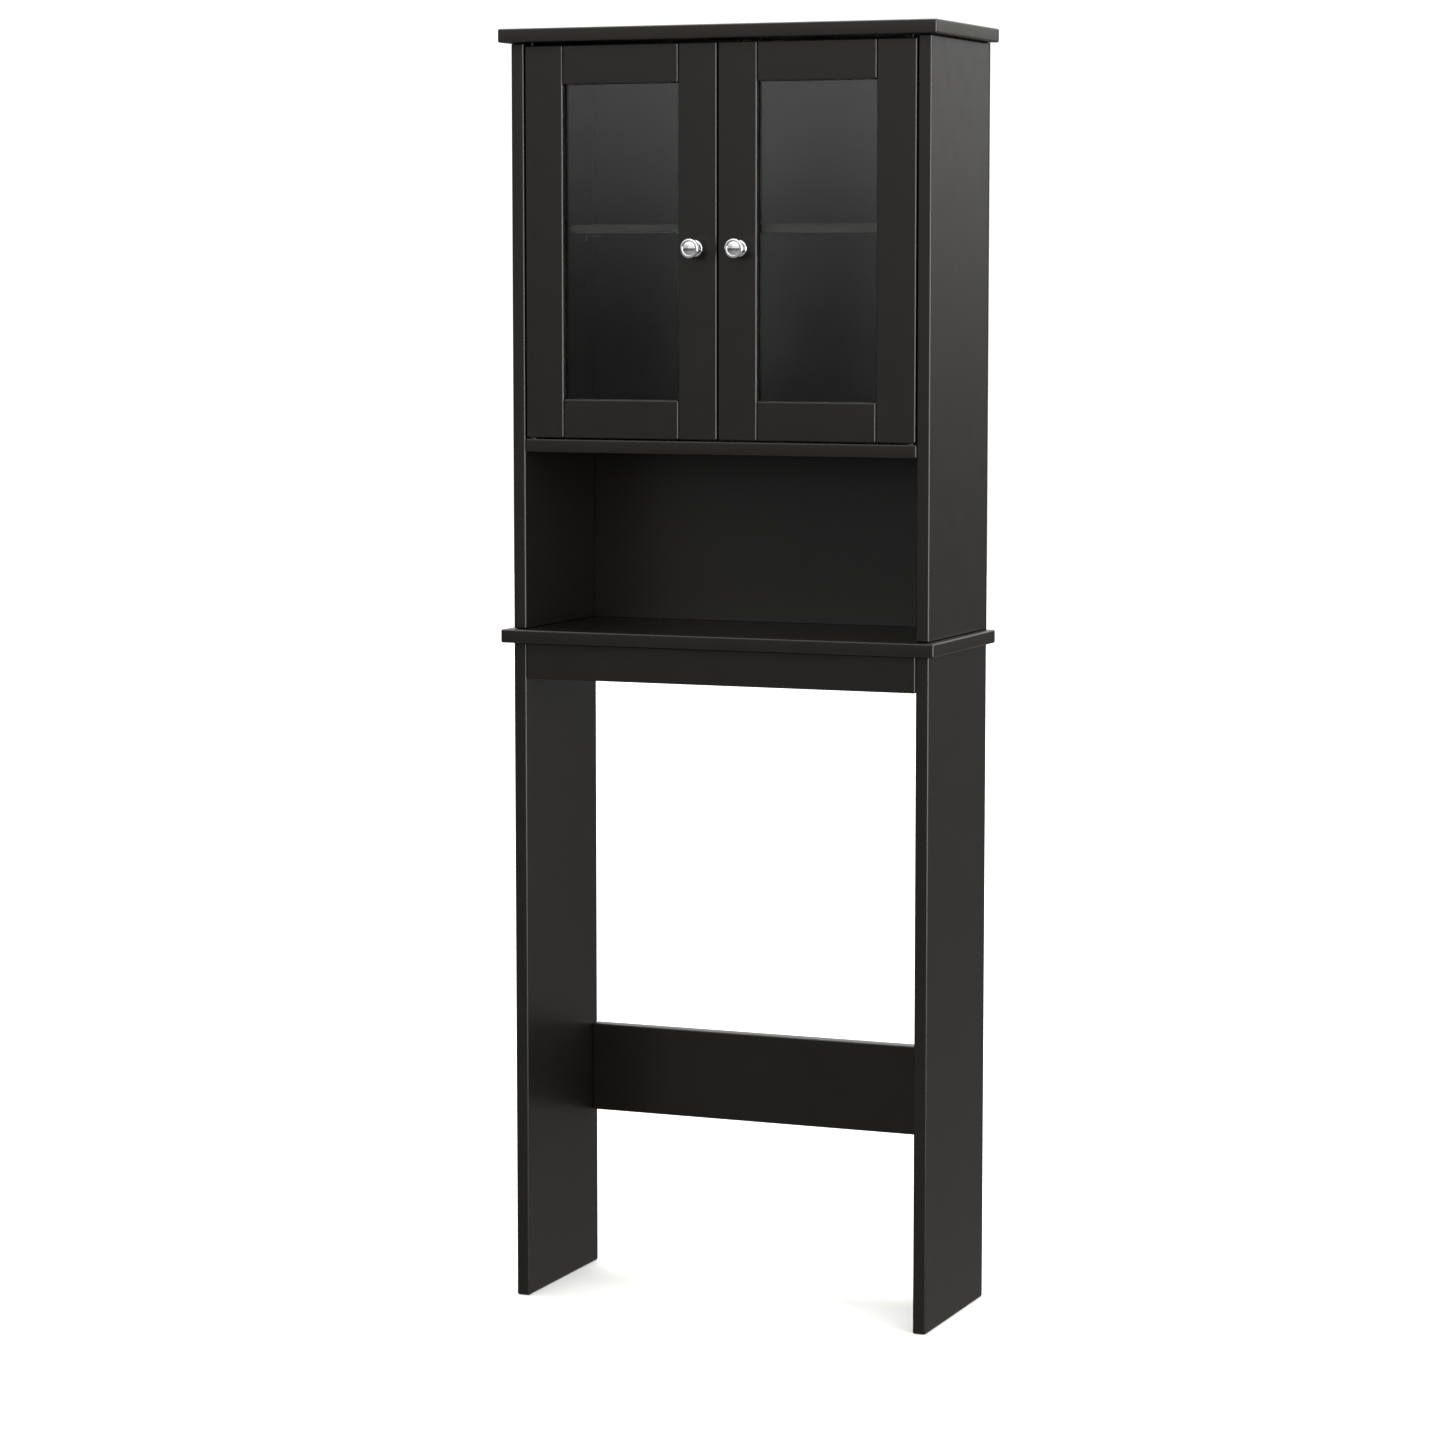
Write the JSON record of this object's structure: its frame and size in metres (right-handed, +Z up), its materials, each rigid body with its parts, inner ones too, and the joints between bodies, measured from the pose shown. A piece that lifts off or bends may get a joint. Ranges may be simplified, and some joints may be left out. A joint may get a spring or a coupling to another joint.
{
  "type": "over-the-toilet storage rack",
  "caption": "Tall cabinet on side legs that stands over a toilet: glass doors on pivot pins, adjustable inner shelf, open nook and a low rear brace.",
  "frame": {"origin": "on the floor, under the middle of the top board (the knobs stand 7 mm further forward than the board)", "axes": "+Z up, +X to the right of someone facing the doors, +Y towards the wall; the front looks along -Y"},
  "size_m": [0.612, 0.255, 1.7],
  "materials": {
    "board_lacquer": "near-black satin lacquer on fibreboard",
    "back_panel_lacquer": "near-black satin faced hardboard",
    "clear_glass": "clear float glass",
    "polished_chrome": "polished chrome plate",
    "bright_steel": "bright drawn steel",
    "blackened_steel": "steel blackened in hot oxide salts, oiled",
    "zinc_plate": "dull zinc plate",
    "black_nylon": "moulded black nylon"
  },
  "bodies": {
    "root": {"top_board": "board_lacquer", "mid_board": "board_lacquer", "upper_side_left": "board_lacquer", "upper_side_right": "board_lacquer", "leg_left": "board_lacquer", "leg_right": "board_lacquer", "cabinet_floor": "board_lacquer", "apron_front": "board_lacquer", "lower_brace": "board_lacquer", "back_panel": "back_panel_lacquer", "magnetic_catch": "black_nylon", "left_bushing_lower": "black_nylon", "left_bushing_upper": "black_nylon", "wall_bracket_left": "zinc_plate", "shelf_peg_left_front": "bright_steel", "cam_floor_left_front": "zinc_plate", "cam_bolt_floor_left_front": "zinc_plate", "shelf_peg_left_rear": "bright_steel", "cam_floor_left_rear": "zinc_plate", "cam_bolt_floor_left_rear": "zinc_plate", "cam_apron_left": "zinc_plate", "cam_bolt_apron_left": "zinc_plate", "cam_brace_left": "zinc_plate", "cam_bolt_brace_left": "zinc_plate", "right_bushing_lower": "black_nylon", "right_bushing_upper": "black_nylon", "wall_bracket_right": "zinc_plate", "shelf_peg_right_front": "bright_steel", "cam_floor_right_front": "zinc_plate", "cam_bolt_floor_right_front": "zinc_plate", "shelf_peg_right_rear": "bright_steel", "cam_floor_right_rear": "zinc_plate", "cam_bolt_floor_right_rear": "zinc_plate", "cam_apron_right": "zinc_plate", "cam_bolt_apron_right": "zinc_plate", "cam_brace_right": "zinc_plate", "cam_bolt_brace_right": "zinc_plate"},
    "left_door": {"left_door_stile_outer": "board_lacquer", "left_door_stile_inner": "board_lacquer", "left_door_rail_top": "board_lacquer", "left_door_rail_bottom": "board_lacquer", "left_door_glass": "clear_glass", "left_door_knob": "polished_chrome", "left_door_knob_screw": "zinc_plate", "left_door_pin_lower": "blackened_steel", "left_door_pin_upper": "blackened_steel", "left_door_strike": "bright_steel"},
    "right_door": {"right_door_stile_outer": "board_lacquer", "right_door_stile_inner": "board_lacquer", "right_door_rail_top": "board_lacquer", "right_door_rail_bottom": "board_lacquer", "right_door_glass": "clear_glass", "right_door_knob": "polished_chrome", "right_door_knob_screw": "zinc_plate", "right_door_pin_lower": "blackened_steel", "right_door_pin_upper": "blackened_steel", "right_door_strike": "bright_steel"},
    "shelf": {"inner_shelf": "board_lacquer"}
  },
  "joints": [
    {"name": "left_door_swing", "type": "hinge", "parent": "root", "child": "left_door", "pos_m": [-0.266, -0.1025, 1.1635], "axis": [0, 0, -1], "range_deg": [0, 115]},
    {"name": "right_door_swing", "type": "hinge", "parent": "root", "child": "right_door", "pos_m": [0.266, -0.1025, 1.1635], "axis": [0, 0, 1], "range_deg": [0, 115]},
    {"name": "inner_shelf_lift", "type": "slide", "parent": "root", "child": "shelf", "axis": [0, 0, 1], "range_m": [0, 0.06]}
  ]
}
